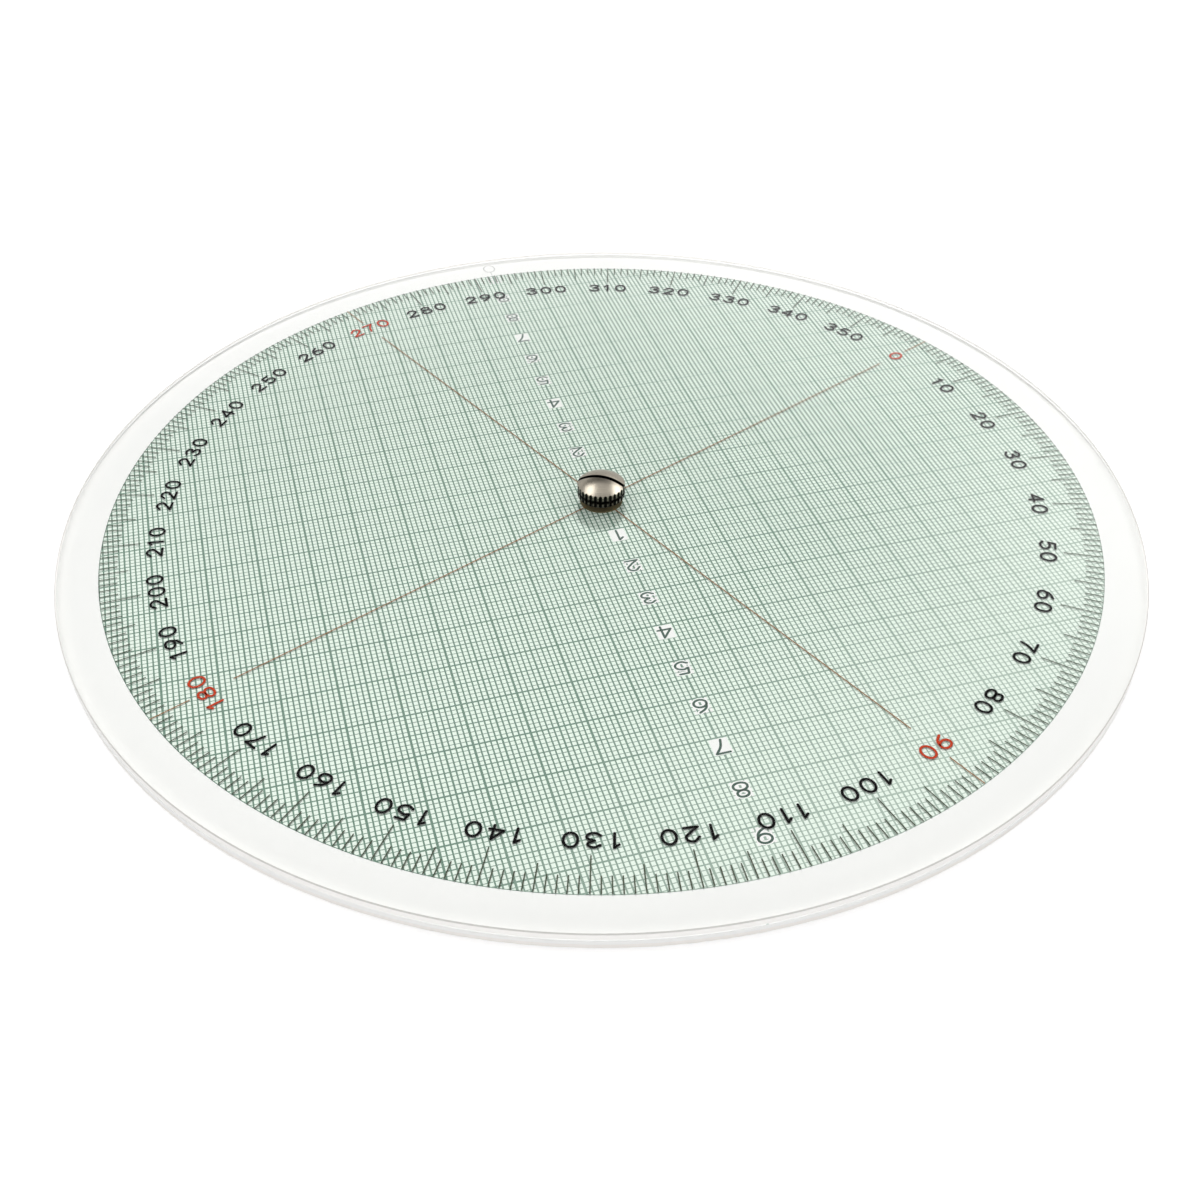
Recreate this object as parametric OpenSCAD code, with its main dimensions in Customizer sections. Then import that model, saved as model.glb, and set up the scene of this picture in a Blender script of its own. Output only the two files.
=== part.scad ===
// Round nautical slide rule for the chart table, lying on its scale face.
// A clear compass disc turns over a white plate with a millimetre grid, and a scale disc turns in the ring below.
// One knurled thumb screw and its flanged nut hold the stack and set how hard the discs turn.
// Origin at the centre of the rest face, +Z up, +Y the way in which the grid's numbers read.

/* [Plates] */
// Diameter of the compass disc, the grid plate and the scale ring
plate_d = 216; // [150:1:260]
// Thickness of the clear compass disc
compass_t = 1.5; // [1:0.1:3]
// Thickness of the grid plate
grid_t = 0.8; // [0.5:0.1:2]
// Bevel on the rim of the compass disc
compass_bevel = 0.2; // [0.1:0.05:0.4]
// Bevel on the outer edges of the white plates
plate_bevel = 0.15; // [0.05:0.05:0.2]

/* [Slide disc] */
// Diameter of the scale disc on the underside
slide_d = 160; // [100:1:180]
// Radial gap between the scale disc and the ring round it
slide_gap = 0.3; // [0.1:0.05:0.6]
// How far the scale disc lies above the rest face
slide_recess = 0.1; // [0.05:0.05:0.4]
// Thickness of the scale disc that is left above the flange of the nut
slide_web = 0.4; // [0.3:0.1:1.5]
// Bevel on the edges of the scale disc and of the opening round it
slide_bevel = 0.12; // [0.05:0.01:0.15]

/* [Washers] */
// Thickness of the slip washer under the compass disc
slip_t = 0.2; // [0.1:0.05:0.5]
// Thickness of the washer over the scale disc
slide_washer_t = 0.1; // [0.05:0.05:0.4]
// Thickness of the washer on the flange of the nut
lower_washer_t = 0.1; // [0.05:0.05:0.4]
// Thickness of the friction washer on the compass disc
top_washer_t = 0.2; // [0.1:0.05:0.6]
// Width by which the washers stand out round the post
washer_rim = 1; // [0.5:0.1:2]
// Width by which the slip washer stands out round the post
slip_rim = 1.9; // [0.5:0.1:3]
// Sheet thickness of the cupped spring washer
spring_t = 0.15; // [0.1:0.05:0.3]
// Rise of the cupped spring washer from its rim to its hole
spring_rise = 0.2; // [0.1:0.05:0.4]
// Width by which the spring washer stands in from the friction washer's rim
spring_inset = 0.2; // [0:0.1:0.5]

/* [Nut] */
// Wall of the post round the screw
post_wall = 0.95; // [0.6:0.05:2]
// Depth of the two flats that keep the post from turning in the grid plate
post_flat = 0.3; // [0.1:0.05:0.4]
// How far the post ends below the top of the compass disc
post_short = 0.1; // [0.05:0.05:0.4]
// Width of the flange outside the post
flange_lip = 2; // [1:0.1:4]
// Thickness of the flange
flange_t = 0.3; // [0.2:0.05:1]
// Bevel on the lower edge of the flange
flange_bevel = 0.1; // [0.05:0.01:0.15]

/* [Screw] */
// Diameter of the screw's shank
shank_d = 3; // [2:0.1:5]
// How far the shank ends inside the nut
shank_short = 0.5; // [0.2:0.1:1]
// Diameter of the knurled head
head_d = 9.7; // [8:0.1:16]
// Height of the knurled side of the head
knurl_h = 2.8; // [2:0.1:5]
// Height of the dome over the knurled side
dome_h = 1.7; // [0.8:0.1:3]
// Number of upright grooves in the knurl
knurl_n = 30; // [16:1:40]
// Depth of the upright grooves
knurl_depth = 0.25; // [0.1:0.05:0.35]
// Width of the groove round the head that splits the knurl in two rows
ring_groove_w = 0.4; // [0.2:0.05:0.8]
// Height of that groove above the underside of the head
ring_groove_h = 1.35; // [0.8:0.05:1.6]
// Bevel on the lower edge of the head
head_bevel = 0.25; // [0.1:0.05:0.4]
// Width of the coin slot
slot_w = 0.9; // [0.5:0.1:1.5]
// Depth of the coin slot below the top of the dome
slot_depth = 1.6; // [0.6:0.1:2]
// Direction of the coin slot from +X
slot_turn = 150; // [0:5:180]

/* [Clearances] */
// Radial running clearance of the discs and washers on the post
run_clear = 0.05; // [0.02:0.01:0.1]
// Radial clearance of the shank in the post
thread_clear = 0.05; // [0.02:0.01:0.1]
// Radial clearance of the post in the grid plate
seat_clear = 0.01; // [0.01:0.01:0.05]
// Radial clearance of the washers on the shank
shank_clear = 0.15; // [0.05:0.05:0.4]
// Radial room round the flange in the scale disc
flange_clear = 0.3; // [0.1:0.05:0.6]

/* [Hidden] */
$fn = 96;
// Overrun of the cutting shapes
cut = 0.5;

// Heights of the stack, from the rest face up
slide_t = flange_t + lower_washer_t + slide_web;
slide_z = slide_recess;
lower_washer_z = slide_z + flange_t;
web_z = lower_washer_z + lower_washer_t;
slide_washer_z = slide_z + slide_t;
grid_z = slide_washer_z + slide_washer_t;
slip_z = grid_z + grid_t;
compass_z = slip_z + slip_t;
top_washer_z = compass_z + compass_t;
spring_z = top_washer_z + top_washer_t;
head_z = spring_z + spring_rise + spring_t;
post_top_z = top_washer_z - post_short;
shank_end_z = slide_z + shank_short;

// Radii round the pivot
plate_r = plate_d / 2;
slide_r = slide_d / 2;
shank_r = shank_d / 2;
post_bore_r = shank_r + thread_clear;
post_r = post_bore_r + post_wall;
flange_r = post_r + flange_lip;
washer_r = post_r + washer_rim;
slip_r = post_r + slip_rim;
head_r = head_d / 2;
// Sphere that carries the dome through the edge of the knurled side
dome_r = (head_r * head_r + dome_h * dome_h) / (2 * dome_h);

// Flat round plate with a bevel of its own on each outer edge, standing on z = 0
module bevelled_plate(r, t, lower, upper) {
  rotate_extrude()
    polygon([
      [0, 0], [r - lower, 0], [r, lower], [r, t - upper], [r - upper, t], [0, t]
    ]);
}

// Flat ring washer standing on z = 0
module flat_washer(outer_r, inner_r, t) {
  difference() {
    cylinder(r = outer_r, h = t);
    translate([0, 0, -cut])
      cylinder(r = inner_r, h = t + 2 * cut);
  }
}

// Round with two parallel flats across Y, the section of the post above the scale disc
module flatted_round(r, flat, h) {
  intersection() {
    cylinder(r = r, h = h);
    translate([-r - cut, flat - r, -cut])
      cube([2 * (r + cut), 2 * (r - flat), h + 2 * cut]);
  }
}

// Upright V grooves round the head: square rods with an edge towards the axis
module knurl_grooves() {
  for (i = [0 : knurl_n - 1])
    rotate([0, 0, 360 * i / knurl_n])
      translate([head_r, 0, -cut])
        cylinder(r = knurl_depth, h = knurl_h + dome_h + 2 * cut, $fn = 4);
}

// Groove round the head between the two rows of the knurl, with slanted walls
module row_groove() {
  floor_r = head_r - knurl_depth;
  floor_w = ring_groove_w / 2;
  translate([0, 0, ring_groove_h])
    rotate_extrude()
      polygon([
        [floor_r, -floor_w / 2], [head_r, -floor_w], [head_r + cut, -floor_w],
        [head_r + cut, floor_w], [head_r, floor_w], [floor_r, floor_w / 2]
      ]);
}

// Screw head standing on z = 0: knurled side, dome and coin slot
module screw_head() {
  difference() {
    intersection() {
      cylinder(r = head_r, h = knurl_h + dome_h);
      translate([0, 0, knurl_h + dome_h - dome_r])
        sphere(r = dome_r);
      cylinder(r1 = head_r - head_bevel, r2 = head_r - head_bevel + knurl_h + dome_h, h = knurl_h + dome_h);
    }
    knurl_grooves();
    row_groove();
    rotate([0, 0, slot_turn])
      translate([-head_r - cut, -slot_w / 2, knurl_h + dome_h - slot_depth])
        cube([2 * (head_r + cut), slot_w, slot_depth + cut]);
  }
}

// Nickelled screw: domed head on a shank that runs down into the post
module thumb_screw() {
  color([0.66, 0.64, 0.60])
    union() {
      translate([0, 0, head_z])
        screw_head();
      translate([0, 0, shank_end_z])
        cylinder(r = shank_r, h = head_z - shank_end_z + cut);
    }
}

// Cupped spring washer, its rim on the friction washer and its hole against the head
module spring_washer() {
  inner_r = shank_r + shank_clear;
  outer_r = washer_r - spring_inset;
  color([0.55, 0.54, 0.52])
    translate([0, 0, spring_z])
      rotate_extrude()
        polygon([
          [inner_r, spring_rise], [outer_r, 0], [outer_r, spring_t], [inner_r, spring_rise + spring_t]
        ]);
}

// Dark friction washer between the spring and the compass disc
module top_washer() {
  color([0.10, 0.10, 0.09])
    translate([0, 0, top_washer_z])
      flat_washer(washer_r, shank_r + shank_clear, top_washer_t);
}

// Clear disc that carries the compass scale, bored to turn on the post
module compass_disc() {
  color([0.90, 0.96, 0.94, 0.35])
    translate([0, 0, compass_z])
      difference() {
        bevelled_plate(plate_r, compass_t, compass_bevel, compass_bevel);
        translate([0, 0, -cut])
          cylinder(r = post_r + run_clear, h = compass_t + 2 * cut);
      }
}

// Brown slip washer that keeps the compass disc off the printed grid, a little wider than the others
module slip_washer() {
  color([0.45, 0.40, 0.29])
    translate([0, 0, slip_z])
      flat_washer(slip_r, post_r + run_clear, slip_t);
}

// White plate with the grid, its hole flatted to hold the post
module grid_plate() {
  color([0.95, 0.96, 0.94])
    translate([0, 0, grid_z])
      difference() {
        bevelled_plate(plate_r, grid_t, 0, plate_bevel);
        translate([0, 0, -cut])
          flatted_round(post_r + seat_clear, post_flat, grid_t + 2 * cut);
      }
}

// Ring under the grid plate, which the rule rests on and which carries the outer scale
module scale_ring() {
  opening_r = slide_r + slide_gap;
  color([0.90, 0.90, 0.87])
    rotate_extrude()
      polygon([
        [opening_r, slide_bevel], [opening_r + slide_bevel, 0], [plate_r - plate_bevel, 0],
        [plate_r, plate_bevel], [plate_r, grid_z], [opening_r, grid_z]
      ]);
}

// Thin washer between the scale disc and the grid plate
module slide_washer() {
  color([0.93, 0.94, 0.92])
    translate([0, 0, slide_washer_z])
      flat_washer(washer_r, post_r + run_clear, slide_washer_t);
}

// Scale disc let into the ring, recessed below for the flange of the nut
module slide_disc() {
  color([0.96, 0.96, 0.93])
    translate([0, 0, slide_z])
      difference() {
        bevelled_plate(slide_r, slide_t, slide_bevel, slide_bevel);
        translate([0, 0, -cut])
          cylinder(r = post_r + run_clear, h = slide_t + 2 * cut);
        translate([0, 0, -cut])
          cylinder(r = flange_r + flange_clear, h = web_z - slide_z + cut);
      }
}

// Washer between the flange and the floor of the recess
module lower_washer() {
  color([0.93, 0.94, 0.92])
    translate([0, 0, lower_washer_z])
      flat_washer(flange_r, post_r + run_clear, lower_washer_t);
}

// Flanged post, round in the scale disc and flatted from the grid plate up
module barrel_nut() {
  color([0.62, 0.60, 0.56])
    difference() {
      union() {
        translate([0, 0, slide_z])
          bevelled_plate(flange_r, flange_t, flange_bevel, 0);
        translate([0, 0, slide_z])
          cylinder(r = post_r, h = grid_z - slide_z);
        translate([0, 0, slide_z])
          flatted_round(post_r, post_flat + seat_clear, post_top_z - slide_z);
      }
      translate([0, 0, slide_z - cut])
        cylinder(r = post_bore_r, h = post_top_z - slide_z + 2 * cut);
    }
}

thumb_screw();
spring_washer();
top_washer();
compass_disc();
slip_washer();
grid_plate();
scale_ring();
slide_washer();
slide_disc();
lower_washer();
barrel_nut();
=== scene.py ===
"""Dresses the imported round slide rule: printed plates, clear compass disc, knurled screw and a white studio."""
import math

import bpy
from mathutils import Matrix, Vector


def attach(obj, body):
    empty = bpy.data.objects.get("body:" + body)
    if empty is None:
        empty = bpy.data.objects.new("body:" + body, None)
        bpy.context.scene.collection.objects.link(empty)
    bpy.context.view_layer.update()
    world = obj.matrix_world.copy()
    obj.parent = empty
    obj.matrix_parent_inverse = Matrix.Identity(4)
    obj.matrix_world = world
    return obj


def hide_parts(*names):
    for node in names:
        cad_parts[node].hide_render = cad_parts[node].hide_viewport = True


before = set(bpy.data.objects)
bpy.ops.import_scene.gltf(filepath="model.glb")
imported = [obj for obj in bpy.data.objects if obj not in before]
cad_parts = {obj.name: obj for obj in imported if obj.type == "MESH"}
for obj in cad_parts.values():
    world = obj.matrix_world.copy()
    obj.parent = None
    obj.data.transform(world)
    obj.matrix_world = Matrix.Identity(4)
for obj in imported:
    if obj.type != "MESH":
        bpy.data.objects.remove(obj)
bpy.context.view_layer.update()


# Barrel nut: a flanged post of turned and nickelled brass, threaded inside.
# It comes up from below through the scale disc and the grid plate, and every disc turns on it.
MM = 0.001
LATHE_STRENGTH = 0.25
LATHE_DEPTH = 0.00001


def put_node(tree, kind, *inputs, **settings):
    """Adds a shader node, then links or sets its inputs in order; None leaves an input as it is."""
    made = tree.nodes.new("ShaderNode" + kind)
    for key, value in settings.items():
        setattr(made, key, value)
    for socket, value in zip(made.inputs, inputs):
        if isinstance(value, bpy.types.NodeSocket):
            tree.links.new(value, socket)
        elif value is not None:
            socket.default_value = value
    return made


def maths(tree, operation, *inputs):
    return put_node(tree, "Math", *inputs, operation=operation).outputs[0]


def blend_colours(tree, share, first, second):
    made = put_node(tree, "Mix", data_type="RGBA")
    for place, value in ((0, share), (6, first), (7, second)):
        if isinstance(value, bpy.types.NodeSocket):
            tree.links.new(value, made.inputs[place])
        else:
            made.inputs[place].default_value = value
    return made.outputs[2]


def ramp(tree, value, start, end, low, high):
    return put_node(tree, "MapRange", value, start, end, low, high).outputs[0]


def new_finish(name, **sockets):
    """A material with one Principled shader; plain values go straight on its sockets."""
    made = bpy.data.materials.new(name)
    made.use_nodes = True
    shader = made.node_tree.nodes["Principled BSDF"]
    for key, value in sockets.items():
        shader.inputs[key.replace("_", " ").title().replace("Ior", "IOR")].default_value = value
    return made, made.node_tree, shader


def new_group(name, inputs, outputs):
    """An empty shader node group with named float sockets; each input has a default."""
    made = bpy.data.node_groups.new(name, "ShaderNodeTree")
    for socket, value in inputs.items():
        made.interface.new_socket(socket, in_out="INPUT", socket_type="NodeSocketFloat").default_value = value
    for socket in outputs:
        made.interface.new_socket(socket, in_out="OUTPUT", socket_type="NodeSocketFloat")
    return made, made.nodes.new("NodeGroupInput").outputs, made.nodes.new("NodeGroupOutput").inputs


def put_group(tree, group, **inputs):
    made = tree.nodes.new("ShaderNodeGroup")
    made.node_tree = group
    for key, value in inputs.items():
        made.inputs[key].default_value = value
    return made.outputs


def put_bump(tree, shader, height, strength, depth):
    bump = put_node(tree, "Bump", strength, depth)
    tree.links.new(height, bump.inputs["Height"])
    tree.links.new(bump.outputs[0], shader.inputs["Normal"])


def from_axis(tree):
    """Place on the piece in millimetres: distance from the pivot's axis, turn round it, and x, y and z."""
    spot = put_node(tree, "TexCoord").outputs["Object"]
    x, y, z = (maths(tree, "DIVIDE", axis, MM) for axis in put_node(tree, "SeparateXYZ", spot).outputs)
    away = maths(tree, "SQRT", maths(tree, "ADD", maths(tree, "MULTIPLY", x, x), maths(tree, "MULTIPLY", y, y)))
    return away, maths(tree, "ARCTAN2", y, x), x, y, z


# Lathe marks: fine rings round the axis, broken up a little along the turn
lathe, lathe_in, lathe_out = new_group("lathe_marks", {"Pitch": 0.05, "Break": 0.25}, ("Mark",))
away, turn, _, _, z = from_axis(lathe)
streaks_at = put_node(lathe, "CombineXYZ", maths(lathe, "DIVIDE", away, lathe_in["Pitch"]),
                      maths(lathe, "MULTIPLY", turn, lathe_in["Break"]),
                      maths(lathe, "DIVIDE", z, lathe_in["Pitch"])).outputs[0]
lathe.links.new(put_node(lathe, "TexNoise", streaks_at, None, 1.0, 3.0, 0.6).outputs[0], lathe_out["Mark"])


def nickel_finish(name, bright, dull, rough):
    made, tree, shader = new_finish(name, metallic=1.0)
    marks = put_group(tree, lathe, Pitch=0.07, Break=0.5)
    tree.links.new(blend_colours(tree, marks["Mark"], dull, bright), shader.inputs["Base Color"])
    tree.links.new(ramp(tree, marks["Mark"], 0.2, 0.8, rough - 0.06, rough + 0.08), shader.inputs["Roughness"])
    put_bump(tree, shader, marks["Mark"], LATHE_STRENGTH, LATHE_DEPTH)
    return made, tree, shader


def dress(node, finish):
    """Gives a carried-over solid its finish."""
    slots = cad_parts[node].data.materials
    slots.clear()
    slots.append(finish)


nut_nickel = nickel_finish("nut_nickel", bright=(0.62, 0.59, 0.53, 1), dull=(0.50, 0.47, 0.42, 1), rough=0.30)[0]
dress("barrel_nut", nut_nickel)


# Thin washers: two punched from white nylon film, on the nut's flange and over the scale disc,
# and a wider one of oiled brown fibre under the compass disc. They lie loose on the post and let the discs slip.
SATIN_DEPTH = 0.00001
FIBRE_DEPTH = 0.00002
GRAIN_STRENGTH = 0.2
SPECK_FINER = 9.0
grain, grain_in, grain_out = new_group("fine_grain", {"Size": 1.0}, ("Cloud", "Speck"))
grain_spot = put_node(grain, "TexCoord").outputs["Object"]
grain_scale = maths(grain, "DIVIDE", 1 / MM, grain_in["Size"])
cloud = put_node(grain, "TexNoise", grain_spot, None, grain_scale, 4.0, 0.55).outputs[0]
speck_scale = maths(grain, "MULTIPLY", grain_scale, SPECK_FINER)
speck = put_node(grain, "TexNoise", grain_spot, None, speck_scale, 2.0, 0.5).outputs[0]
grain.links.new(cloud, grain_out["Cloud"])
grain.links.new(speck, grain_out["Speck"])


def plastic_finish(name, colour, shade, rough, size, depth):
    """Matt or satin plastic: cloudy colour, uneven gloss and a faint moulded grain."""
    made, tree, shader = new_finish(name, ior=1.5)
    shown = put_group(tree, grain, Size=size)
    tree.links.new(blend_colours(tree, shown["Cloud"], shade, colour), shader.inputs["Base Color"])
    tree.links.new(ramp(tree, shown["Cloud"], 0.25, 0.75, rough - 0.07, rough + 0.07), shader.inputs["Roughness"])
    put_bump(tree, shader, shown["Speck"], GRAIN_STRENGTH, depth)
    return made, tree, shader


film_white = plastic_finish("film_white", colour=(0.86, 0.86, 0.83, 1), shade=(0.80, 0.80, 0.77, 1),
                            rough=0.40, size=0.8, depth=SATIN_DEPTH)[0]
for washer in ("lower_washer", "slide_washer"):
    dress(washer, film_white)
oiled_fibre = plastic_finish("oiled_fibre", colour=(0.17, 0.14, 0.065, 1), shade=(0.10, 0.085, 0.042, 1),
                             rough=0.5, size=0.4, depth=FIBRE_DEPTH)[0]
dress("slip_washer", oiled_fibre)


# Scale disc: white sheet plastic, punched round and let into the ring below the grid plate.
# Its underside carries the turning log scale, printed in black round its rim.
LOG_START = 10
SLIDE_EDGE = 79.8
SLIDE_FACE = 0.1
SCALE_TICKS = (2.2, 3.4, 4.6)
TICK_WIDTH = 0.2
FIGURE_TALL = 3.4
FIGURE_STROKE = 0.51
FIGURE_STEP = 1.09
NARROW_STEP = 0.86
FIGURE_GAP = 0.9
FILM = 0.012
INK_DEPTH = 0.000003
SHEET_CLOUDS = 6.0
MID_ACROSS, MID_UP = 0.4, 0.5
# Stroke figures on a unit height, each stroke a few points; a stroke that ends where it starts is a loop
FIGURES = {
    "0": [[(0.4, 1), (0.8, 0.5), (0.4, 0), (0, 0.5), (0.4, 1)]],
    "1": [[(0.16, 0.78), (0.42, 1)], [(0.42, 1), (0.42, 0)]],
    "2": [[(0.03, 0.72), (0.4, 1), (0.77, 0.72), (0.5, 0.38), (0, 0)], [(0, 0), (0.8, 0)]],
    "3": [[(0.05, 0.84), (0.4, 1), (0.73, 0.77), (0.36, 0.54)], [(0.36, 0.54), (0.8, 0.27), (0.4, 0), (0.02, 0.18)]],
    "4": [[(0.58, 0), (0.58, 1)], [(0.58, 1), (0, 0.3)], [(0, 0.3), (0.82, 0.3)]],
    "5": [[(0.72, 1), (0.16, 1)], [(0.16, 1), (0.08, 0.55)],
          [(0.08, 0.55), (0.42, 0.64), (0.8, 0.32), (0.4, 0), (0.02, 0.16)]],
    "6": [[(0.4, 0.6), (0.78, 0.3), (0.4, 0), (0.02, 0.3), (0.4, 0.6)], [(0.02, 0.3), (0.18, 0.72), (0.62, 1)]],
    "7": [[(0, 1), (0.8, 1)], [(0.8, 1), (0.42, 0.5), (0.26, 0)]],
    "8": [[(0.4, 1), (0.72, 0.77), (0.4, 0.54), (0.08, 0.77), (0.4, 1)],
          [(0.4, 0.54), (0.8, 0.27), (0.4, 0), (0, 0.27), (0.4, 0.54)]],
    "9": [[(0.4, 0.4), (0.02, 0.7), (0.4, 1), (0.78, 0.7), (0.4, 0.4)], [(0.78, 0.7), (0.62, 0.28), (0.18, 0)]],
}


def pick(*pieces):
    """Selects these objects alone; the first is active."""
    bpy.ops.object.select_all(action="DESELECT")
    for piece in pieces:
        piece.select_set(True)
    bpy.context.view_layer.objects.active = pieces[0]


def joined(pieces):
    pick(*pieces)
    if len(pieces) > 1:
        bpy.ops.object.join()
    return pieces[0]


def copied(pattern, places):
    """Copies of a modelled shape, each with its own mesh, moved to their places."""
    made = []
    for where in places:
        twin = pattern.copy()
        twin.data = pattern.data.copy()
        twin.data.transform(where)
        bpy.context.collection.objects.link(twin)
        made.append(twin)
    return made


def drop(*pieces):
    for piece in pieces:
        bpy.data.objects.remove(piece)


def shift(x, y, z=0.0):
    return Matrix.Translation((x, y, z))


def turned(degrees):
    """Clockwise seen from above, as a compass counts."""
    return Matrix.Rotation(-math.radians(degrees), 4, "Z")


def figure(sign, tall, stroke):
    """A pen-stroke figure: round strokes pressed flat to a film of ink, middle of its height at the origin."""
    high, half, strokes = tall - stroke, stroke / 2, []

    def spot(across, up):
        return (across - MID_ACROSS) * high, (up - MID_UP) * high, 0

    for points in FIGURES[sign]:
        looped = points[0] == points[-1]
        line = bpy.data.curves.new("stroke", "CURVE")
        line.dimensions, line.resolution_u = "3D", 6
        line.bevel_depth, line.bevel_resolution, line.use_fill_caps = half, 1, True
        spline = line.splines.new("BEZIER")
        corners = points[:-1] if looped else points
        spline.bezier_points.add(len(corners) - 1)
        spline.use_cyclic_u = looped
        for knot, corner in zip(spline.bezier_points, corners):
            knot.co = spot(*corner)
            knot.handle_left_type = knot.handle_right_type = "AUTO"
        drawn = bpy.data.objects.new("stroke", line)
        bpy.context.collection.objects.link(drawn)
        pick(drawn)
        bpy.ops.object.convert(target="MESH")
        strokes.append(bpy.context.object)
        for end in () if looped else (corners[0], corners[-1]):
            pick(strokes[0])
            bpy.ops.mesh.primitive_uv_sphere_add(segments=10, ring_count=6, radius=half, location=spot(*end))
            bpy.ops.object.transform_apply(location=True, rotation=False, scale=False)
            strokes.append(bpy.context.object)
    made = joined(strokes)
    made.data.transform(Matrix.Diagonal((1, 1, FILM / stroke, 1)))
    return made


def number(figures, value, reach):
    """The figures of a number in a row, centred on +Y at this reach from the pivot, tops outwards."""
    signs, row, along = str(value), [], 0.0
    steps = [FIGURE_TALL * (NARROW_STEP if sign == "1" else FIGURE_STEP) for sign in signs]
    for sign, step in zip(signs, steps):
        row += copied(figures[sign], [shift(along + (step - sum(steps)) / 2, reach)])
        along += step
    return row


def tick(reach, length, width):
    """One stroke of a scale, pointing along +Y from this reach outwards, slightly narrower at its ends."""
    bpy.ops.object.select_all(action="DESELECT")
    bpy.ops.mesh.primitive_cube_add(size=1)
    made = bpy.context.object
    made.data.transform(shift(0, reach + length / 2) @ Matrix.Diagonal((width, length, FILM, 1)))
    bpy.ops.object.mode_set(mode="EDIT")
    bpy.ops.mesh.select_all(action="SELECT")
    bpy.ops.mesh.bevel(offset=FILM / 4, segments=1, affect="EDGES")
    bpy.ops.object.mode_set(mode="OBJECT")
    return made


def place(piece, name, finish, body, slot, where=Matrix.Identity(4)):
    """Takes a piece from millimetres to its place in the frame, then gives it its finish and its body."""
    piece.data.transform(Matrix.Scale(MM, 4) @ where)
    piece.name = piece.data.name = name
    piece.data.materials.clear()
    piece.data.materials.append(finish)
    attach(piece, body)
    return piece


def ink_finish(name, colour, thin):
    """Screen-printed ink: slightly uneven where the film is thin, and dead matt."""
    made, _, shader = plastic_finish(name, colour, thin, rough=0.60, size=0.5, depth=INK_DEPTH)
    shader.inputs["Specular IOR Level"].default_value = 0.0
    return made


def log_turn(value):
    return 360 * math.log10(value / LOG_START)


black_ink = ink_finish("black_ink", (0.004, 0.004, 0.004, 1), (0.012, 0.012, 0.012, 1))
scale_figures = {sign: figure(sign, FIGURE_TALL, FIGURE_STROKE) for sign in FIGURES}
SCALE_NUMBERS = (*range(10, 21), 25, 30, 35, 40, 45, 50, 60, 70, 80, 90)
# Tenths of a unit: step of the ticks, of the middle ticks and of the long ones over each stretch of the scale
SCALE_STEPS = ((100, 200, 1, 5, 10), (200, 500, 2, 10, 50), (500, 1000, 5, 10, 100))


def log_scale(edge, outwards):
    """A log scale once round the dial, its ticks standing in or out from this edge."""
    marks = [tick(edge if outwards else edge - length, length, TICK_WIDTH) for length in SCALE_TICKS]
    printed = []
    for start, end, fine, middle, heavy in SCALE_STEPS:
        for tenths in range(start, end, fine):
            size = 2 if tenths % heavy == 0 else 1 if tenths % middle == 0 else 0
            printed += copied(marks[size], [turned(log_turn(tenths / 10))])
    drop(*marks)
    reach = edge + (1 if outwards else -1) * (SCALE_TICKS[2] + FIGURE_GAP + FIGURE_TALL / 2)
    for value in SCALE_NUMBERS:
        for sign in number(scale_figures, value, reach):
            sign.data.transform(turned(log_turn(value)))
            printed.append(sign)
    return joined(printed)


def under(face):
    """Turns print over about Y and lifts it to an underside at this height."""
    return shift(0, 0, face) @ Matrix.Rotation(math.pi, 4, "Y")


place(log_scale(SLIDE_EDGE, False), "slide_scale_print", black_ink, "slide", "black_ink", under(SLIDE_FACE))
slide_white = plastic_finish("slide_white", colour=(0.88, 0.88, 0.855, 1), shade=(0.85, 0.85, 0.825, 1),
                             rough=0.40, size=SHEET_CLOUDS, depth=SATIN_DEPTH)[0]
dress("slide_disc", slide_white)


# Scale ring: the lower white layer of the body, glued under the grid plate; the rule rests on it.
# The fixed log scale is printed round its opening and reads against the turning one.
RING_EDGE = 80.5
RING_FACE = 0.0
place(log_scale(RING_EDGE, True), "ring_scale_print", black_ink, "base", "black_ink", under(RING_FACE))
ring_white = plastic_finish("ring_white", colour=(0.89, 0.86, 0.825, 1), shade=(0.86, 0.83, 0.795, 1),
                            rough=0.42, size=SHEET_CLOUDS, depth=SATIN_DEPTH)[0]
dress("scale_ring", ring_white)


# Grid plate: white sheet plastic, printed in green with a millimetre grid in a circle of 100 mm.
# The fifth and tenth lines are heavier, figures count centimetres, and a grey index stands on the margin.
GRID_REACH = 100
GRID_SPARE = 2
GRID_FACE = 1.8
GRID_UPRIGHT = {0: 0.42, 5: 0.34}
GRID_UPRIGHT_FINE = 0.28
GRID_CROSSING = {0: 0.34, 5: 0.25}
GRID_CROSSING_FINE = 0.15
GRID_TALL = 3.5
GRID_STROKE = 0.45
GRID_FOOT = 0.35
CROSSING_LIFT = 0.003
FIGURE_LIFT = 0.002
CIRCLE_OUT = 0.06
CIRCLE_IN = 0.10
PATCH_WIDE = 3.4
PATCH_MARGIN = 0.15
PATCH_TALLER = 0.5
PATCH_THICKER = 0.55
ROUND_STEPS = 360


def cut(piece, tool, operation):
    """Boolean with a tool that is then thrown away."""
    pick(piece)
    modifier = piece.modifiers.new("cut", "BOOLEAN")
    modifier.operation, modifier.object, modifier.solver, modifier.use_self = operation, tool, "EXACT", True
    bpy.ops.object.modifier_apply(modifier=modifier.name)
    drop(tool)


def rounds(reach, high):
    bpy.ops.object.select_all(action="DESELECT")
    bpy.ops.mesh.primitive_cylinder_add(vertices=ROUND_STEPS, radius=reach, depth=high)
    return bpy.context.object


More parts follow.
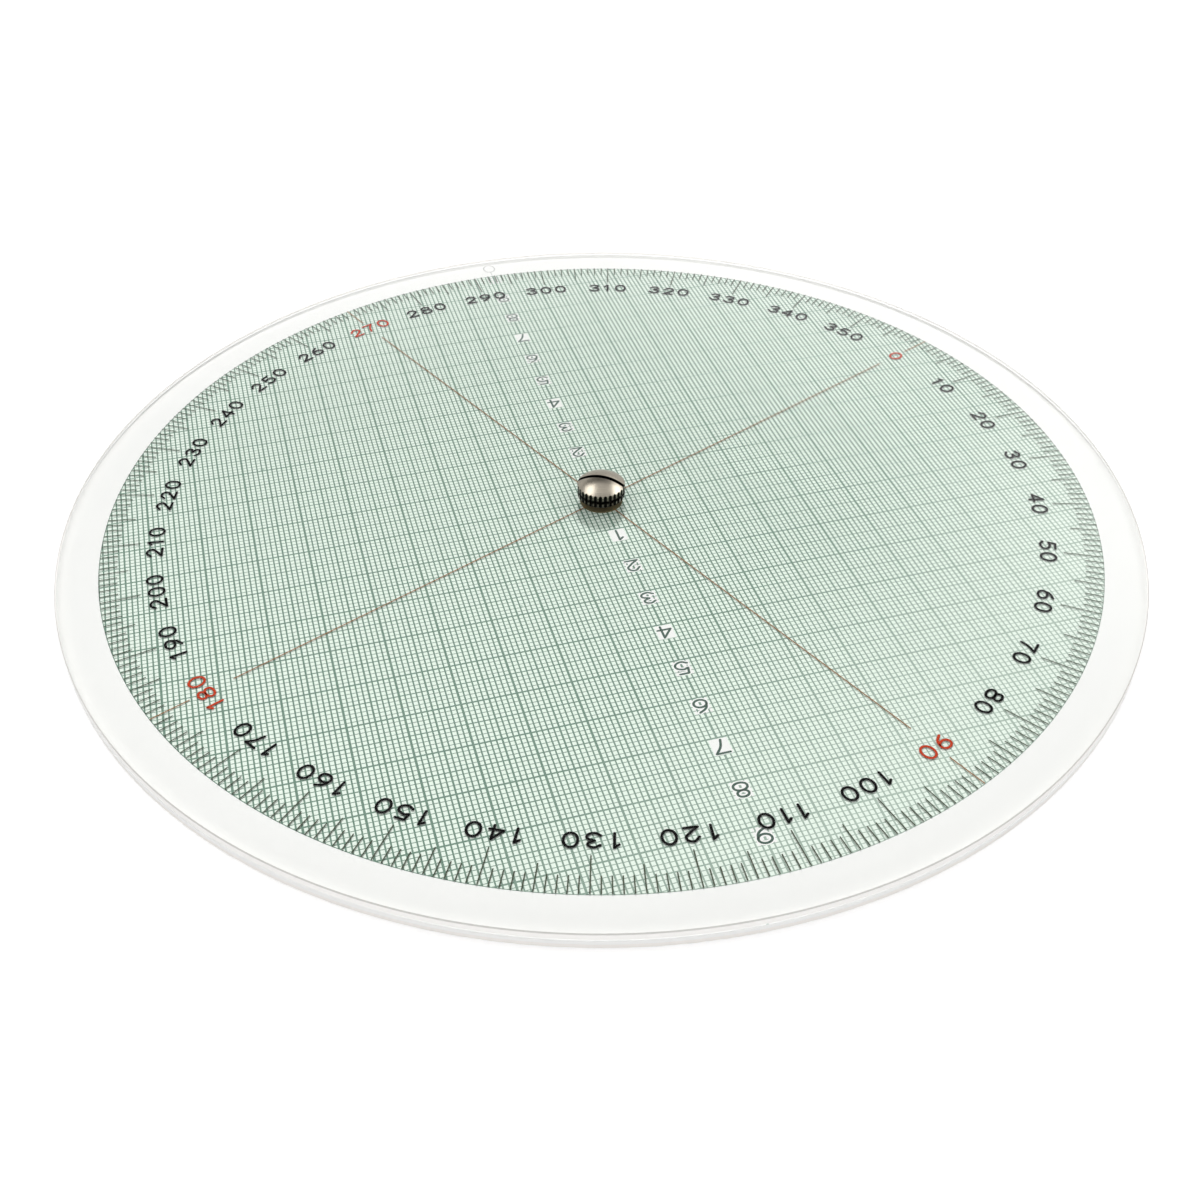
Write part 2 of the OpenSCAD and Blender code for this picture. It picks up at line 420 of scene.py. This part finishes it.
def ruled(widths, fine):
    """Upright millimetre lines over the whole circle, made for one centimetre and repeated."""
    lines = []
    for step in range(10):
        line = tick(-GRID_REACH - GRID_SPARE, 2 * (GRID_REACH + GRID_SPARE), widths.get(step, fine))
        line.data.transform(shift(step - GRID_REACH, 0))
        lines.append(line)
    made = joined(lines)
    repeat = made.modifiers.new("centimetres", "ARRAY")
    repeat.use_relative_offset, repeat.use_constant_offset = False, True
    repeat.constant_offset_displace, repeat.count = (10, 0, 0), 2 * GRID_REACH // 10 + 1
    pick(made)
    bpy.ops.object.modifier_apply(modifier=repeat.name)
    cut(made, rounds(GRID_REACH, 1), "INTERSECT")
    return made


grid = ruled(GRID_UPRIGHT, GRID_UPRIGHT_FINE)
crossing = ruled(GRID_CROSSING, GRID_CROSSING_FINE)
crossing.data.transform(Matrix.Rotation(math.pi / 2, 4, "Z") @ shift(0, 0, CROSSING_LIFT))


def number_patch(sign):
    """Block that clears the grid round a figure: square for the open figures, a wide pen's shape for the others."""
    if sign in "147":
        made = tick(-GRID_TALL / 2 - PATCH_MARGIN, GRID_TALL + 2 * PATCH_MARGIN, PATCH_WIDE)
    else:
        made = figure(sign, GRID_TALL + PATCH_TALLER, GRID_STROKE + PATCH_THICKER)
    made.data.transform(Matrix.Diagonal((1, 1, 1 / FILM, 1)))
    return made


# The figures stand on unprinted patches, counted both ways from the pivot
grid_figures = {sign: figure(sign, GRID_TALL, GRID_STROKE) for sign in "123456789"}
figure_places = [(str(value), side * 10 * value + GRID_FOOT + GRID_TALL / 2)
                 for side in (1, -1) for value in range(1, 10)]
for lot in (grid, crossing):
    patches = []
    for sign, middle in figure_places:
        patch = number_patch(sign)
        patch.data.transform(shift(0, middle))
        patches.append(patch)
    cut(lot, joined(patches), "DIFFERENCE")
printed_figures = []
for sign, middle in figure_places:
    printed_figures += copied(grid_figures[sign], [shift(0, middle, FIGURE_LIFT)])
outline = rounds(GRID_REACH + CIRCLE_OUT, FILM)
cut(outline, rounds(GRID_REACH - CIRCLE_IN, 1), "DIFFERENCE")


def toward(tree, x, y, way):
    """How far a place lies along a level direction."""
    return maths(tree, "ADD", maths(tree, "MULTIPLY", x, way[0]), maths(tree, "MULTIPLY", y, way[1]))


SHEET_TINT = (0.797, 0.893, 0.811, 1)
# Side, start, end and share of the painted reflection on the green ink
REFLECTION_SIDE = (-0.57, 0.82)
REFLECTION_FROM = 40
REFLECTION_TO = 85
REFLECTION_SHARE = 0.36
green_ink = ink_finish("green_ink", (0.130, 0.230, 0.173, 1), (0.160, 0.266, 0.205, 1))
# Painted reflection: towards one side the ink is paled towards the sheet's tint, standing in for light mirrored off
# the clear disc there
ink_tree = green_ink.node_tree
ink_colour = ink_tree.nodes["Principled BSDF"].inputs["Base Color"]
_, _, x, y, _ = from_axis(ink_tree)
painted_reflection = ramp(ink_tree, toward(ink_tree, x, y, REFLECTION_SIDE), REFLECTION_FROM, REFLECTION_TO, 0.0, REFLECTION_SHARE)
ink_tree.links.new(blend_colours(ink_tree, painted_reflection, ink_colour.links[0].from_socket, SHEET_TINT), ink_colour)
place(joined([grid, crossing, outline]), "grid_print", green_ink, "base", "green_ink", shift(0, 0, GRID_FACE))
# The figures are printed a second time over, so they stand darker
full_green = ink_finish("full_green_ink", (0.045, 0.090, 0.068, 1), (0.070, 0.125, 0.098, 1))
place(joined(printed_figures), "grid_figures", full_green, "base", "green_ink", shift(0, 0, GRID_FACE))

INDEX_STEM = 2.3
INDEX_STEM_WIDTH = 0.22
INDEX_TALL = 3.8
INDEX_STROKE = 0.3
grey_ink = ink_finish("grey_ink", (0.50, 0.50, 0.50, 1), (0.58, 0.58, 0.57, 1))
zero = figure("0", INDEX_TALL, INDEX_STROKE)
zero.data.transform(shift(0, -GRID_REACH - INDEX_STEM - INDEX_TALL / 2))
stem = tick(-GRID_REACH - INDEX_STEM, INDEX_STEM, INDEX_STEM_WIDTH)
place(joined([zero, stem]), "index_print", grey_ink, "base", "black_ink", shift(0, 0, GRID_FACE))

FLECK_SPACING = 6.0
FLECK_LARGEST = 0.5
FLECK_RARITY = 6.0
FLECK_SHARE = 0.55
FLECK_GREEN = (0.20, 0.36, 0.27, 1)
UNTINTED_HALF = 1.6
UNTINTED_MARGIN = 0.1
plate_white, plate_tree, plate_shader = plastic_finish(
    "plate_white", colour=(0.90, 0.90, 0.89, 1), shade=(0.88, 0.88, 0.87, 1),
    rough=0.42, size=SHEET_CLOUDS, depth=SATIN_DEPTH)
away, _, x, y, z = from_axis(plate_tree)
# Inside the circle the sheet takes a breath of green from the ink round about, but not on the figures' patches
inside = maths(plate_tree, "LESS_THAN", away, GRID_REACH)
from_column = maths(plate_tree, "ABSOLUTE", x)
from_figure = maths(plate_tree, "ABSOLUTE", maths(
    plate_tree, "SUBTRACT", maths(plate_tree, "FLOORED_MODULO", y, 10.0), GRID_FOOT + GRID_TALL / 2))
on_patch = maths(plate_tree, "MULTIPLY", maths(plate_tree, "LESS_THAN", from_column, UNTINTED_HALF),
                 maths(plate_tree, "LESS_THAN", from_figure, GRID_TALL / 2 + UNTINTED_MARGIN))
tinted = maths(plate_tree, "MULTIPLY", inside, maths(plate_tree, "SUBTRACT", 1.0, on_patch))
white = plate_shader.inputs["Base Color"].links[0].from_socket
sheet = blend_colours(plate_tree, tinted, white, SHEET_TINT)
# Small flaws of the print and dust on the sheet: sparse flecks of many sizes
flecks = put_node(plate_tree, "TexVoronoi", put_node(plate_tree, "TexCoord").outputs["Object"])
flecks.inputs["Scale"].default_value = 1 / (FLECK_SPACING * MM)
fleck_draw = put_node(plate_tree, "SeparateColor", flecks.outputs["Color"]).outputs[0]
fleck_size = maths(plate_tree, "MULTIPLY", maths(plate_tree, "POWER", fleck_draw, FLECK_RARITY),
                   FLECK_LARGEST / FLECK_SPACING)
flecked = maths(plate_tree, "MULTIPLY", maths(plate_tree, "LESS_THAN", flecks.outputs["Distance"], fleck_size),
                ramp(plate_tree, z, GRID_FACE - 0.03, GRID_FACE - 0.01, 0.0, FLECK_SHARE))
plate_tree.links.new(blend_colours(plate_tree, flecked, sheet, FLECK_GREEN), plate_shader.inputs["Base Color"])
dress("grid_plate", plate_white)


# Compass disc: clear acrylic sheet, turned to the size of the plate, with a ground edge and small bevels.
# Its underside is printed with the compass scale in black and the four main lines in red.
COMPASS_LOW = 2.0
COMPASS_HIGH = 3.5
COMPASS_EDGE = 108.0
COMPASS_BORE = 2.55
COMPASS_BEVEL = 0.2
COMPASS_NORTH = 112.76
COMPASS_TICKS = {0: 7.5, 5: 5.5}
COMPASS_TICK = 3.5
COMPASS_STROKE = 0.22
COMPASS_FIGURES = 89.5
MAIN_LINE_START = 4.0
MAIN_LINE = 80.0
MAIN_LINE_WIDTH = 0.22
PRINT_BITE = 0.002
BLOOM_SIZE = 14.0
BLOOM_ROUGH = 0.03
# Grey of the painted shade on the upper bevel
BEVEL_SHADE = (0.60, 0.585, 0.56, 1)
BEVEL_BLEND = 0.05


def lathe_turned(outline, steps):
    """A closed outline of (reach, height) points spun round the pivot's axis to a solid."""
    bpy.ops.object.select_all(action="DESELECT")
    bpy.ops.mesh.primitive_plane_add(size=1)
    made = bpy.context.object
    bpy.ops.object.mode_set(mode="EDIT")
    bpy.ops.mesh.select_mode(type="VERT")
    bpy.ops.mesh.select_all(action="SELECT")
    bpy.ops.mesh.merge(type="CENTER")
    bpy.ops.transform.translate(value=(outline[0][0], 0, outline[0][1]))
    for (r0, z0), (r1, z1) in zip(outline, outline[1:] + outline[:1]):
        if (r0, r1) != (0, 0):
            bpy.ops.mesh.extrude_region_move(TRANSFORM_OT_translate={"value": (r1 - r0, 0, z1 - z0)})
    bpy.ops.mesh.select_all(action="SELECT")
    bpy.ops.mesh.remove_doubles(threshold=0.0001)
    bpy.ops.mesh.select_all(action="SELECT")
    bpy.ops.mesh.spin(steps=steps, angle=2 * math.pi, center=(0, 0, 0), axis=(0, 0, 1))
    bpy.ops.mesh.select_all(action="SELECT")
    bpy.ops.mesh.remove_doubles(threshold=0.0001)
    bpy.ops.mesh.normals_make_consistent(inside=False)
    bpy.ops.object.mode_set(mode="OBJECT")
    return made


clear, clear_tree, clear_shader = new_finish("clear_acrylic", base_color=(0.992, 0.994, 0.990, 1),
                                             ior=1.49, transmission_weight=1.0)
# Handling leaves a faint bloom on the polish, in soft patches
bloom = put_group(clear_tree, grain, Size=BLOOM_SIZE)
clear_tree.links.new(ramp(clear_tree, bloom["Cloud"], 0.50, 0.75, 0.0, BLOOM_ROUGH), clear_shader.inputs["Roughness"])
path = put_node(clear_tree, "LightPath").outputs
passed = maths(clear_tree, "MAXIMUM", path["Is Shadow Ray"], path["Is Diffuse Ray"])
see_through = put_node(clear_tree, "BsdfTransparent", (0.975, 0.977, 0.972, 1))
both = put_node(clear_tree, "MixShader", passed, clear_shader.outputs[0], see_through.outputs[0])
clear_tree.links.new(both.outputs[0], clear_tree.nodes["Material Output"].inputs["Surface"])
ground, ground_tree, ground_shader = plastic_finish(
    "ground_edge", colour=(0.97, 0.955, 0.935, 1), shade=(0.95, 0.93, 0.905, 1),
    rough=0.5, size=0.6, depth=SATIN_DEPTH)
# Painted shade: the upper bevel is coloured grey, most on the side toward the camera, where a clear bevel looks dark
_, _, _, y, z = from_axis(ground_tree)
bevel_low = COMPASS_HIGH - COMPASS_BEVEL
on_bevel = ramp(ground_tree, z, bevel_low - BEVEL_BLEND, bevel_low + BEVEL_BLEND, 0.0, 1.0)
painted_bevel_shade = maths(ground_tree, "MULTIPLY", ramp(ground_tree, y, -60, 50, 0.2, 0.95), on_bevel)
white = ground_shader.inputs["Base Color"].links[0].from_socket
ground_tree.links.new(blend_colours(ground_tree, painted_bevel_shade, white, BEVEL_SHADE), ground_shader.inputs["Base Color"])
compass = lathe_turned([
    (COMPASS_BORE, COMPASS_LOW), (COMPASS_EDGE - COMPASS_BEVEL, COMPASS_LOW),
    (COMPASS_EDGE, COMPASS_LOW + COMPASS_BEVEL), (COMPASS_EDGE, COMPASS_HIGH - COMPASS_BEVEL),
    (COMPASS_EDGE - COMPASS_BEVEL, COMPASS_HIGH), (COMPASS_BORE, COMPASS_HIGH)], ROUND_STEPS)
place(compass, "clear_disc", clear, "compass", "clear_acrylic")
compass.data.materials.append(ground)
for face in compass.data.polygons:
    face.material_index = 1 if face.center.xy.length > (COMPASS_EDGE - COMPASS_BEVEL) * MM else 0
pick(compass)
bpy.ops.object.shade_smooth_by_angle(angle=math.radians(30))
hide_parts("compass_disc")

degree_marks = []
for degree in range(1, 10):
    length = COMPASS_TICKS.get(degree, COMPASS_TICK)
    degree_marks.append(tick(GRID_REACH - length, length, COMPASS_STROKE))
    degree_marks[-1].data.transform(turned(degree))
short_marks = joined(degree_marks)
long_mark = tick(GRID_REACH - COMPASS_TICKS[0], COMPASS_TICKS[0], COMPASS_STROKE)
main_line = tick(MAIN_LINE_START, MAIN_LINE, MAIN_LINE_WIDTH)
compass_prints = {"ticks": [], "lines": [], "black_figures": [], "red_figures": []}
for tens in range(36):
    at = turned(10 * tens - COMPASS_NORTH)
    main = tens % 9 == 0
    compass_prints["ticks"] += copied(short_marks, [at])
    compass_prints["lines" if main else "ticks"] += copied(long_mark, [at])
    if main:
        compass_prints["lines"] += copied(main_line, [at])
    for sign in number(scale_figures, 10 * tens, COMPASS_FIGURES):
        sign.data.transform(at)
        compass_prints["red_figures" if main else "black_figures"].append(sign)
drop(long_mark, short_marks, main_line, *scale_figures.values(), *grid_figures.values())
thin_black = ink_finish("thin_black_ink", (0.065, 0.080, 0.055, 1), (0.105, 0.120, 0.090, 1))
red_ink = ink_finish("red_ink", (0.48, 0.045, 0.016, 1), (0.53, 0.065, 0.028, 1))
thin_red = ink_finish("thin_red_ink", (0.26, 0.125, 0.055, 1), (0.34, 0.17, 0.080, 1))
print_height = shift(0, 0, COMPASS_LOW - FILM / 2 + PRINT_BITE)
for part, ink, slot in (("ticks", thin_black, "black_ink"), ("lines", thin_red, "red_ink"),
                        ("black_figures", black_ink, "black_ink"), ("red_figures", red_ink, "red_ink")):
    place(joined(compass_prints[part]), "compass_" + part, ink, "compass", slot, print_height)


# Drag washers: a disc of black fibre on the compass disc and a cupped spring washer of thin steel over it.
# They turn with the screw and press the discs together.
dark_fibre = plastic_finish("dark_fibre", colour=(0.050, 0.046, 0.034, 1), shade=(0.030, 0.027, 0.020, 1),
                            rough=0.7, size=0.5, depth=FIBRE_DEPTH)[0]
dress("top_washer", dark_fibre)
spring_steel = nickel_finish("spring_steel", bright=(0.42, 0.41, 0.38, 1), dull=(0.30, 0.29, 0.26, 1), rough=0.38)[0]
dress("spring_washer", spring_steel)


# Thumb screw: turned brass, nickelled, with two rows of knurl blackened in their grooves and a coin slot.
# Its shank runs down into the nut, and it sets how hard the discs turn.
HEAD_LOW = 4.05
HEAD_REACH = 4.85
KNURL_TOP = 6.85
DOME_TOP = 8.55
KNURL_TEETH = 30
KNURL_DEPTH = 0.25
ROW_GROOVE = 5.4
ROW_MIDDLE = 0.68
SLOT_WIDTH = 0.9
SLOT_FLOOR = 6.95
SLOT_TURN = 150
SHANK_REACH = 1.5
SHANK_LOW = 0.6
SHANK_BEVEL = 0.2
HEAD_BEVEL = 0.25
GROOVE_MOUTH = 0.2
GROOVE_FLOOR = 0.1
DOME_STEPS = 12
HEAD_STEPS = 120
ROD_LONG = 6
ROD_MIDDLE = 6.2
BLADE_LONG = 14
BLADE_HIGH = 4
CREST_WEAR = 0.95
ROW_WEAR = 0.45
BLACKING = (0.012, 0.011, 0.009, 1)
dome_rise = DOME_TOP - KNURL_TOP
dome_round = (HEAD_REACH ** 2 + dome_rise ** 2) / (2 * dome_rise)
dome = []
for step in range(1, DOME_STEPS + 1):
    reach = HEAD_REACH * (1 - step / DOME_STEPS)
    dome.append((reach, DOME_TOP - dome_round + math.sqrt(dome_round ** 2 - reach ** 2)))
head = lathe_turned([
    (0, SHANK_LOW), (SHANK_REACH - SHANK_BEVEL, SHANK_LOW), (SHANK_REACH, SHANK_LOW + SHANK_BEVEL),
    (SHANK_REACH, HEAD_LOW), (HEAD_REACH - HEAD_BEVEL, HEAD_LOW), (HEAD_REACH, HEAD_LOW + HEAD_BEVEL),
    (HEAD_REACH, ROW_GROOVE - GROOVE_MOUTH), (HEAD_REACH - KNURL_DEPTH, ROW_GROOVE - GROOVE_FLOOR),
    (HEAD_REACH - KNURL_DEPTH, ROW_GROOVE + GROOVE_FLOOR), (HEAD_REACH, ROW_GROOVE + GROOVE_MOUTH),
    (HEAD_REACH, KNURL_TOP)] + dome, HEAD_STEPS)
bpy.ops.object.select_all(action="DESELECT")
bpy.ops.mesh.primitive_cylinder_add(vertices=4, radius=KNURL_DEPTH, depth=ROD_LONG)
rod = bpy.context.object
rod.data.transform(shift(HEAD_REACH, 0, ROD_MIDDLE))
rods = joined(copied(rod, [turned(360 * tooth / KNURL_TEETH) for tooth in range(KNURL_TEETH)]))
drop(rod)
cut(head, rods, "DIFFERENCE")
bpy.ops.object.select_all(action="DESELECT")
bpy.ops.mesh.primitive_cube_add(size=1)
blade = bpy.context.object
blade.data.transform(Matrix.Rotation(math.radians(SLOT_TURN), 4, "Z") @ shift(0, 0, SLOT_FLOOR + BLADE_HIGH / 2)
                     @ Matrix.Diagonal((BLADE_LONG, SLOT_WIDTH, BLADE_HIGH, 1)))
cut(head, blade, "DIFFERENCE")
screw_nickel, screw_tree, screw_shader = nickel_finish(
    "screw_nickel", bright=(0.64, 0.585, 0.49, 1), dull=(0.45, 0.40, 0.32, 1), rough=0.30)
_, turn, x, y, z = from_axis(screw_tree)
bright = screw_shader.inputs["Base Color"].links[0].from_socket
# The blacking stays in the slot and in the knurl, worn off a little at the middle of each tooth
# and nearly all off the crests just below the dome
knurled = ramp(screw_tree, z, KNURL_TOP - 0.05, KNURL_TOP + 0.10, 1.0, 0.0)
round_teeth = maths(screw_tree, "COSINE", maths(screw_tree, "MULTIPLY", turn, KNURL_TEETH))
tooth = ramp(screw_tree, round_teeth, -0.3, -0.95, 0.0, 1.0)
from_groove = maths(screw_tree, "ABSOLUTE", maths(screw_tree, "SUBTRACT", z, ROW_GROOVE))
from_row = maths(screw_tree, "ABSOLUTE", maths(screw_tree, "SUBTRACT", from_groove, ROW_MIDDLE))
crest = ramp(screw_tree, z, KNURL_TOP - 0.55, KNURL_TOP - 0.25, 0.0, CREST_WEAR)
row_crest = ramp(screw_tree, from_row, 0.10, 0.45, ROW_WEAR, 0.0)
worn = maths(screw_tree, "MULTIPLY", tooth, maths(screw_tree, "MAXIMUM", crest, row_crest))
slot_side = (-math.sin(math.radians(SLOT_TURN)), math.cos(math.radians(SLOT_TURN)))
across = maths(screw_tree, "ABSOLUTE", toward(screw_tree, x, y, slot_side))
in_slot = maths(screw_tree, "MULTIPLY", maths(screw_tree, "LESS_THAN", across, SLOT_WIDTH / 2 + 0.01),
                maths(screw_tree, "GREATER_THAN", z, SLOT_FLOOR - 0.05))
in_knurl = maths(screw_tree, "MULTIPLY", knurled, maths(screw_tree, "SUBTRACT", 1.0, worn))
blacked = maths(screw_tree, "MAXIMUM", in_slot, in_knurl)
screw_tree.links.new(blend_colours(screw_tree, blacked, bright, BLACKING), screw_shader.inputs["Base Color"])
place(head, "screw", screw_nickel, "screw", "nickel")
pick(head)
bpy.ops.object.shade_smooth_by_angle(angle=math.radians(28))
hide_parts("thumb_screw")


# Studio: a pale floor, a white sweep behind it, and soft boxes high on the left, on the right and behind.
# The camera stands where the photograph was taken.
PRINT_HEIGHT = 2.7
CAMERA_TURN = 16.193
CAMERA_RISE = 36.72
CAMERA_AWAY = 289.786
CAMERA_PAN = -0.057
CAMERA_TILT = -4.09
CAMERA_ROLL = -0.144
PHOTO_FOCUS = 1403.45
PHOTO_WIDE = 1200
SENSOR_WIDE = 36
FLOOR_WIDE = 6
FLOOR_DROP = 0.00002
FLOOR_GREY = (0.58, 0.58, 0.58, 1)
FLOOR_GLOW = 0.58
SWEEP_LEAN = 0.42
FRONT_LEVEL = 2.2
ROOM_LEVEL = 0.315


def bearing(turn_deg, rise_deg):
    """Unit vector at an angle clockwise from +Y seen from above, and at a rise above the table."""
    t, e = math.radians(turn_deg), math.radians(rise_deg)
    return Vector((math.sin(t) * math.cos(e), math.cos(t) * math.cos(e), math.sin(e)))


up = Vector((0, 0, 1))
stand = bearing(CAMERA_TURN, CAMERA_RISE) * CAMERA_AWAY * MM
ahead = -stand.normalized()
right = ahead.cross(up).normalized()
above = right.cross(ahead)
pan, tilt, roll = (math.radians(angle) for angle in (CAMERA_PAN, CAMERA_TILT, CAMERA_ROLL))
aim = ahead * math.cos(tilt) * math.cos(pan) + right * math.sin(pan) * math.cos(tilt) + above * math.sin(tilt)
aim.normalize()
right = aim.cross(up).normalized()
above = right.cross(aim)
right, above = right * math.cos(roll) + above * math.sin(roll), above * math.cos(roll) - right * math.sin(roll)
camera = bpy.data.objects.new("camera", bpy.data.cameras.new("camera"))
bpy.context.scene.collection.objects.link(camera)
camera.matrix_world = Matrix.Translation(stand + up * PRINT_HEIGHT * MM) @ Matrix(
    (right, above, -aim)).transposed().to_4x4()
camera.data.lens = PHOTO_FOCUS / PHOTO_WIDE * SENSOR_WIDE
camera.data.sensor_width = SENSOR_WIDE
camera.data.clip_start = 0.01
bpy.context.scene.camera = camera

bpy.ops.object.select_all(action="DESELECT")
bpy.ops.mesh.primitive_plane_add(size=FLOOR_WIDE, location=(0, 0, -FLOOR_DROP))
floor = bpy.context.object
floor.name = "floor"
paper, paper_tree, paper_shader = new_finish("floor_paper", base_color=FLOOR_GREY, roughness=0.9)
paper_path = put_node(paper_tree, "LightPath").outputs
seen = maths(paper_tree, "MAXIMUM", paper_path["Is Camera Ray"], maths(
    paper_tree, "MAXIMUM", paper_path["Is Glossy Ray"], paper_path["Is Transmission Ray"]))
glow = put_node(paper_tree, "Emission", (1, 1, 1, 1), maths(paper_tree, "MULTIPLY", seen, FLOOR_GLOW))
lit = put_node(paper_tree, "AddShader", paper_shader.outputs[0], glow.outputs[0])
paper_tree.links.new(lit.outputs[0], paper_tree.nodes["Material Output"].inputs["Surface"])
floor.data.materials.append(paper)


def soft_box(name, turn_deg, rise_deg, away, wide, high, watts):
    lamp = bpy.data.objects.new(name, bpy.data.lights.new(name, "AREA"))
    lamp.data.shape, lamp.data.size, lamp.data.size_y, lamp.data.energy = "RECTANGLE", wide, high, watts
    lamp.location = bearing(turn_deg, rise_deg) * away
    lamp.rotation_mode = "QUATERNION"
    lamp.rotation_quaternion = (-lamp.location).to_track_quat("-Z", "Y")
    bpy.context.scene.collection.objects.link(lamp)
    return lamp


soft_box("left_box", CAMERA_TURN + 100, rise_deg=58, away=0.9, wide=0.6, high=0.4, watts=2.1)
soft_box("right_box", CAMERA_TURN - 105, rise_deg=47, away=0.9, wide=0.6, high=0.4, watts=1.9)
# The one behind throws the screw's soft shadow forwards, and is kept out of the mirrored and clear faces
back_box = soft_box("back_box", CAMERA_TURN + 182, rise_deg=44, away=8.0, wide=1.3, high=1.3, watts=372)
back_box.visible_glossy = back_box.visible_transmission = False


def smooth(tree, value, start, end, low, high):
    return put_node(tree, "MapRange", value, start, end, low, high, interpolation_type="SMOOTHSTEP").outputs[0]


world = bpy.data.worlds.new("studio")
world.use_nodes = True
bpy.context.scene.world = world
sky = world.node_tree
sky_path = put_node(sky, "LightPath").outputs
# Mirrored in the glass and the metal: a white sweep low down, which stands higher on the right, and a pale ceiling
way_x, way_y, height = put_node(sky, "SeparateXYZ", put_node(sky, "TexCoord").outputs["Generated"]).outputs
to_right = toward(sky, way_x, way_y, right)
leaning = maths(sky, "SUBTRACT", height, maths(sky, "MULTIPLY", maths(sky, "MAXIMUM", to_right, 0.0), SWEEP_LEAN))
sweep = maths(sky, "MULTIPLY", smooth(sky, leaning, 0.42, 0.56, 1.05, 0.04), smooth(sky, height, 0.34, 0.44, 0.5, 1.0))
ceiling = smooth(sky, height, 0.82, 0.94, 0.0, 0.65)
# The room's light: a plain level all round, and more from low down on the camera's side
front = -Vector((ahead.x, ahead.y, 0)).normalized()
to_front = toward(sky, way_x, way_y, front)
low_front = maths(sky, "MULTIPLY", smooth(sky, to_front, 0.2, 0.6, 0.0, FRONT_LEVEL),
                  smooth(sky, height, 0.55, 0.2, 0.0, 1.0))
room = maths(sky, "ADD", low_front, ROOM_LEVEL)
shown = maths(sky, "MAXIMUM", sky_path["Is Camera Ray"], sky_path["Is Transmission Ray"])
mirrored = maths(sky, "MULTIPLY", sky_path["Is Glossy Ray"], maths(sky, "MAXIMUM", sweep, ceiling))
plain = maths(sky, "MULTIPLY", sky_path["Is Diffuse Ray"], room)
level = maths(sky, "MAXIMUM", maths(sky, "MAXIMUM", shown, mirrored), plain)
sky.links.new(level, sky.nodes["Background"].inputs["Strength"])
sky.nodes["Background"].inputs["Color"].default_value = (1, 1, 1, 1)

bpy.context.scene.view_settings.view_transform = "Standard"
